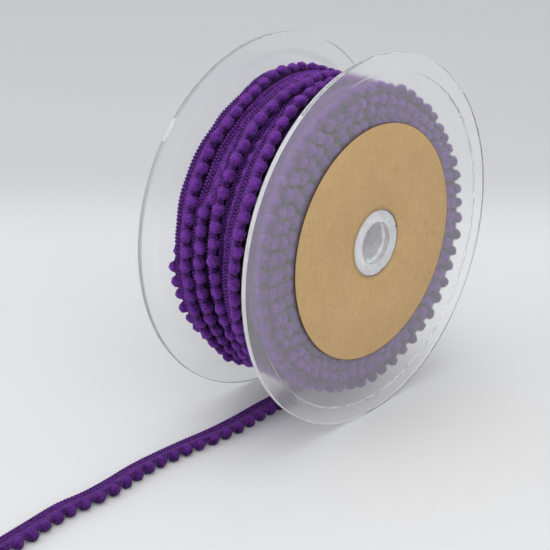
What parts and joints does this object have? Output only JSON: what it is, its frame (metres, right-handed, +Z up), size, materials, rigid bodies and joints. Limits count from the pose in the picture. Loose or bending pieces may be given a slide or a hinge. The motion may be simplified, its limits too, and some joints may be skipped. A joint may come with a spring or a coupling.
{
  "type": "roll of pompom trim on a flanged reel",
  "caption": "Narrow trim with a row of small pompoms along one edge, wound on a see-through flanged reel with a plain round label, its free end lying on the surface.",
  "frame": {"origin": "on the surface that the reel stands on, under the middle of its axis", "axes": "+X along the reel's axis, out of the flange with the label; +Z up; the free end of the trim lies towards -Y"},
  "size_m": [0.0492, 0.2161, 0.1298],
  "materials": {
    "frosted_plastic": "frosted clear moulded plastic",
    "core_plastic": "whitish moulded plastic",
    "kraft_paper": "plain brown kraft paper",
    "purple_trim": "soft fuzzy textured yarn"
  },
  "bodies": {
    "root": {"flange_front": "frosted_plastic", "flange_back": "frosted_plastic", "core": "core_plastic", "label_ring": "kraft_paper", "wound_trim": "purple_trim", "loose_end": "purple_trim"}
  },
  "joints": []
}
